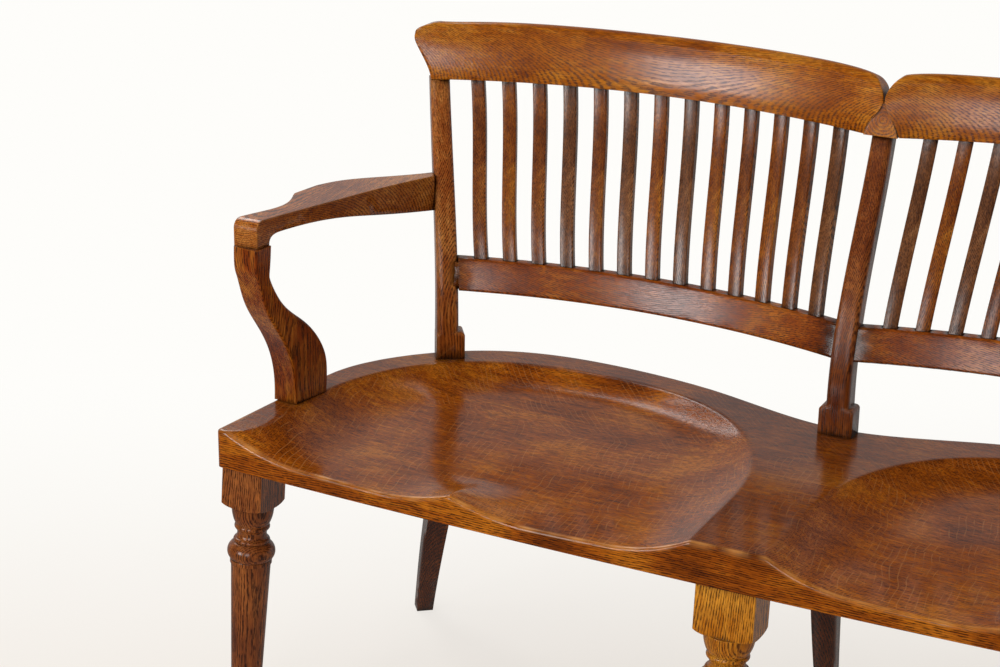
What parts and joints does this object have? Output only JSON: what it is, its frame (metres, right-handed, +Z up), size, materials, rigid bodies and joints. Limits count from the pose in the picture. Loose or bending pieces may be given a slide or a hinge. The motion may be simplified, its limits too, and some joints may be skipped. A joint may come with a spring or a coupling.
{
  "type": "chair-back settee",
  "caption": "Oak settee with a plank seat carved into two saddle hollows, turned front legs, swept rear legs and a bowed slatted back with curved crest rails",
  "frame": {"origin": "on the floor below the middle of the settee's length and depth", "axes": "+X along the seat to the sitter's left, +Y from front to back, +Z up"},
  "size_m": [1.405, 0.5738, 0.8706],
  "materials": {
    "waxed_oak": "dark stained quarter-sawn oak under worn wax",
    "bare_oak": "bare oak, hidden in the joints"
  },
  "bodies": {
    "root": {"seat_board_front": "waxed_oak", "seat_board_middle": "waxed_oak", "seat_board_rear": "waxed_oak", "seat_tongues": "bare_oak", "leg_front_left": "waxed_oak", "leg_front_centre": "waxed_oak", "leg_front_right": "waxed_oak", "leg_rear_left": "waxed_oak", "leg_rear_centre": "waxed_oak", "leg_rear_right": "waxed_oak", "post_left": "waxed_oak", "post_centre": "waxed_oak", "post_right": "waxed_oak", "rail_left": "waxed_oak", "rail_right": "waxed_oak", "crest_left": "waxed_oak", "crest_right": "waxed_oak", "crest_wedge": "waxed_oak", "crest_peg": "bare_oak", "arm_left": "waxed_oak", "arm_right": "waxed_oak", "arm_support_left": "waxed_oak", "arm_support_right": "waxed_oak", "arm_support_dowels": "bare_oak", "arm_joint_dowels": "bare_oak", "slat_left_01": "waxed_oak", "slat_left_02": "waxed_oak", "slat_left_03": "waxed_oak", "slat_left_04": "waxed_oak", "slat_left_05": "waxed_oak", "slat_left_06": "waxed_oak", "slat_left_07": "waxed_oak", "slat_left_08": "waxed_oak", "slat_left_09": "waxed_oak", "slat_left_10": "waxed_oak", "slat_left_11": "waxed_oak", "slat_left_12": "waxed_oak", "slat_left_13": "waxed_oak", "slat_right_01": "waxed_oak", "slat_right_02": "waxed_oak", "slat_right_03": "waxed_oak", "slat_right_04": "waxed_oak", "slat_right_05": "waxed_oak", "slat_right_06": "waxed_oak", "slat_right_07": "waxed_oak", "slat_right_08": "waxed_oak", "slat_right_09": "waxed_oak", "slat_right_10": "waxed_oak", "slat_right_11": "waxed_oak", "slat_right_12": "waxed_oak", "slat_right_13": "waxed_oak"}
  },
  "joints": []
}
